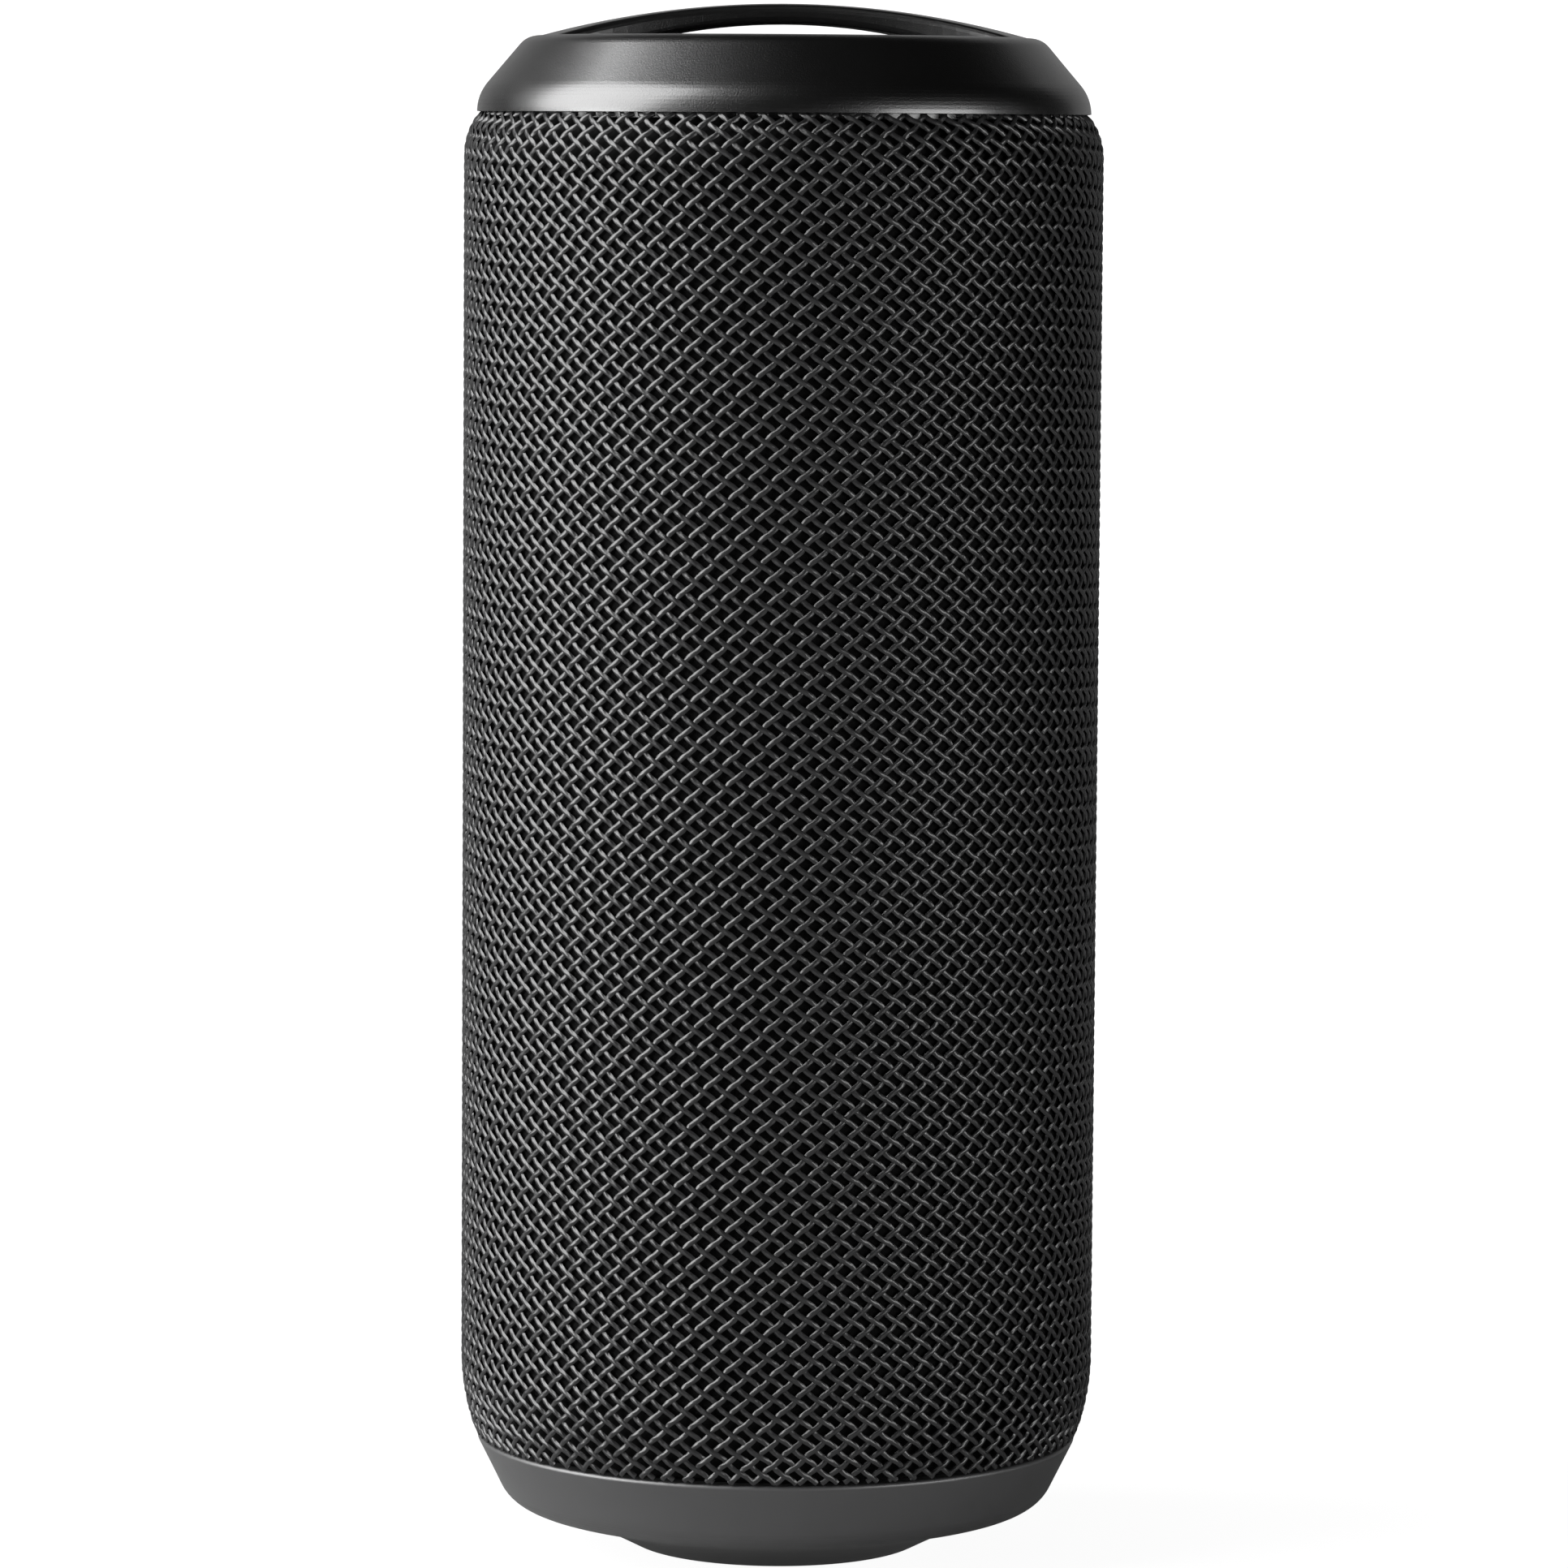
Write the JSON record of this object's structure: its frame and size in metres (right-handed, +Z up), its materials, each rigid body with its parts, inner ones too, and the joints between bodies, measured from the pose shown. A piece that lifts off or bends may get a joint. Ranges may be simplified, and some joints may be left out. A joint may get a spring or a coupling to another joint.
{
  "type": "portable bluetooth speaker",
  "caption": "Slim upright cylinder speaker with a black woven fabric sleeve, a glossy cap with an arched carry handle over a control bowl, and a tapered rubber base.",
  "frame": {"origin": "middle of the foot's resting face", "axes": "+Z is up along the speaker's height; the handle's arch runs along X, the front faces -Y and the port cover faces +Y"},
  "size_m": [0.0802, 0.0803, 0.1949],
  "materials": {
    "cap_gloss": "glossy black moulded plastic",
    "bowl_plastic": "satin black moulded plastic",
    "key_rubber": "soft-touch rubber",
    "silicone": "silicone",
    "clear_plastic": "clear light pipe",
    "switch_metal": "stamped steel",
    "circuit_board": "solder-masked circuit board",
    "components": "board components",
    "screw_steel": "zinc-plated steel",
    "foam": "closed-cell foam",
    "woven_fabric": "black woven open-mesh fabric",
    "inner_plastic": "black moulded plastic",
    "basket_plastic": "glass-filled plastic",
    "motor_steel": "plated steel",
    "magnet": "ceramic magnet",
    "copper_coil": "enamelled copper wire",
    "spider_cloth": "resin-treated cloth",
    "cone_pulp": "coated cone",
    "surround_rubber": "butyl rubber",
    "radiator_plate": "weighted plate",
    "cell_wrap": "shrink-wrapped cell",
    "base_rubber": "matte dark grey rubber",
    "foot_rubber": "matte rubber"
  },
  "bodies": {
    "speaker_body": {"top_cap": "cap_gloss", "control_bowl": "bowl_plastic", "keypad_seal": "silicone", "status_light_pipe": "clear_plastic", "key_switches": "switch_metal", "control_board": "circuit_board", "control_board_parts": "components", "bowl_screws": "screw_steel", "board_screws": "screw_steel", "top_gasket": "foam", "fabric_sleeve": "woven_fabric", "grille_frame": "inner_plastic", "chassis_front": "inner_plastic", "chassis_rear": "inner_plastic", "chassis_gasket": "foam", "chassis_screws": "screw_steel", "front_driver_basket": "basket_plastic", "front_driver_top_plate": "motor_steel", "front_driver_magnet": "magnet", "front_driver_yoke": "motor_steel", "front_driver_spider": "spider_cloth", "front_driver_surround": "surround_rubber", "rear_driver_basket": "basket_plastic", "rear_driver_top_plate": "motor_steel", "rear_driver_magnet": "magnet", "rear_driver_yoke": "motor_steel", "rear_driver_spider": "spider_cloth", "rear_driver_surround": "surround_rubber", "front_radiator_frame": "inner_plastic", "front_radiator_surround": "surround_rubber", "rear_radiator_frame": "inner_plastic", "rear_radiator_surround": "surround_rubber", "mount_gaskets": "foam", "mount_screws": "screw_steel", "battery_cells": "cell_wrap", "battery_tray": "inner_plastic", "main_board": "circuit_board", "main_board_parts": "components", "usb_c_socket": "switch_metal", "aux_jack": "components", "port_bezel": "bowl_plastic", "base_core": "inner_plastic", "base_screws": "screw_steel", "rubber_base": "base_rubber", "foot_pad": "foot_rubber"},
    "key_power_body": {"key_power": "key_rubber"},
    "key_pairing_body": {"key_pairing": "key_rubber"},
    "key_volume_down_body": {"key_volume_down": "key_rubber"},
    "key_play_pause_body": {"key_play_pause": "key_rubber"},
    "key_volume_up_body": {"key_volume_up": "key_rubber"},
    "front_cone_body": {"front_driver_cone": "cone_pulp", "front_driver_dust_cap": "cone_pulp", "front_driver_voice_coil": "copper_coil"},
    "rear_cone_body": {"rear_driver_cone": "cone_pulp", "rear_driver_dust_cap": "cone_pulp", "rear_driver_voice_coil": "copper_coil"},
    "front_radiator_body": {"front_radiator_plate": "radiator_plate"},
    "rear_radiator_body": {"rear_radiator_plate": "radiator_plate"},
    "port_cover_body": {"port_cover": "key_rubber"}
  },
  "joints": [
    {"name": "key_power_press", "type": "slide", "parent": "speaker_body", "child": "key_power_body", "axis": [0, 0, -1], "range_m": [0, 0.0004], "stiffness_N_per_m": 1500, "springref_m": -0.0003},
    {"name": "key_pairing_press", "type": "slide", "parent": "speaker_body", "child": "key_pairing_body", "axis": [0, 0, -1], "range_m": [0, 0.0004], "stiffness_N_per_m": 1500, "springref_m": -0.0003},
    {"name": "key_volume_down_press", "type": "slide", "parent": "speaker_body", "child": "key_volume_down_body", "axis": [0, 0, -1], "range_m": [0, 0.0004], "stiffness_N_per_m": 1500, "springref_m": -0.0003},
    {"name": "key_play_pause_press", "type": "slide", "parent": "speaker_body", "child": "key_play_pause_body", "axis": [0, 0, -1], "range_m": [0, 0.0004], "stiffness_N_per_m": 1500, "springref_m": -0.0003},
    {"name": "key_volume_up_press", "type": "slide", "parent": "speaker_body", "child": "key_volume_up_body", "axis": [0, 0, -1], "range_m": [0, 0.0004], "stiffness_N_per_m": 1500, "springref_m": -0.0003},
    {"name": "front_cone_travel", "type": "slide", "parent": "speaker_body", "child": "front_cone_body", "axis": [0, -1, 0], "range_m": [-0.0015, 0.0015], "stiffness_N_per_m": 1200, "deforming": ["front_driver_surround", "front_driver_spider"]},
    {"name": "rear_cone_travel", "type": "slide", "parent": "speaker_body", "child": "rear_cone_body", "axis": [0, 1, 0], "range_m": [-0.0015, 0.0015], "stiffness_N_per_m": 1200, "deforming": ["rear_driver_surround", "rear_driver_spider"]},
    {"name": "front_radiator_travel", "type": "slide", "parent": "speaker_body", "child": "front_radiator_body", "axis": [0, -1, 0], "range_m": [-0.0025, 0.0025], "stiffness_N_per_m": 800, "deforming": ["front_radiator_surround"]},
    {"name": "rear_radiator_travel", "type": "slide", "parent": "speaker_body", "child": "rear_radiator_body", "axis": [0, 1, 0], "range_m": [-0.0025, 0.0025], "stiffness_N_per_m": 800, "deforming": ["rear_radiator_surround"]},
    {"name": "port_cover_swing", "type": "hinge", "parent": "speaker_body", "child": "port_cover_body", "pos_m": [-0.0147, 0.03602, 0.0282], "axis": [0, 0, 1], "range_deg": [0, 90]}
  ]
}
